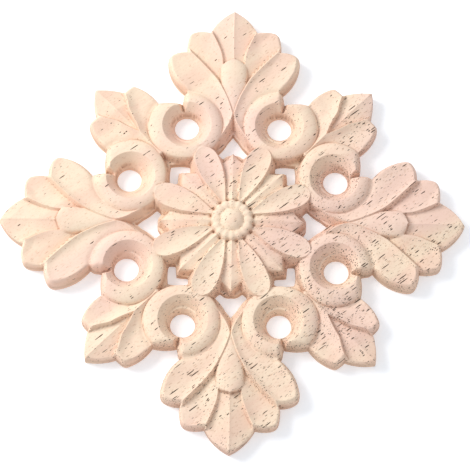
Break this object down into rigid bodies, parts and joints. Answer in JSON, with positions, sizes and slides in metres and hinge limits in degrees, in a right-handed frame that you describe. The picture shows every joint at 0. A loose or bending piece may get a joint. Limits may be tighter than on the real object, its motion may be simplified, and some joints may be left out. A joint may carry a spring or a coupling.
{
  "type": "carved wooden rosette applique",
  "caption": "Square pierced rosette onlay carved in raw pale wood, a daisy within scroll rings and leaf clusters, with a flat back for gluing to furniture, doors or panels.",
  "frame": {"origin": "centre of the flat back, on the rosette's axis", "axes": "+Z out of the back towards the carved face, +Y towards the tip of one arm, +X towards the tip of the next"},
  "size_m": [0.2, 0.2, 0.013],
  "materials": {
    "raw_wood": "raw and sanded, with no stain or varnish"
  },
  "bodies": {
    "root": {"carved_applique": "raw_wood"}
  },
  "joints": []
}
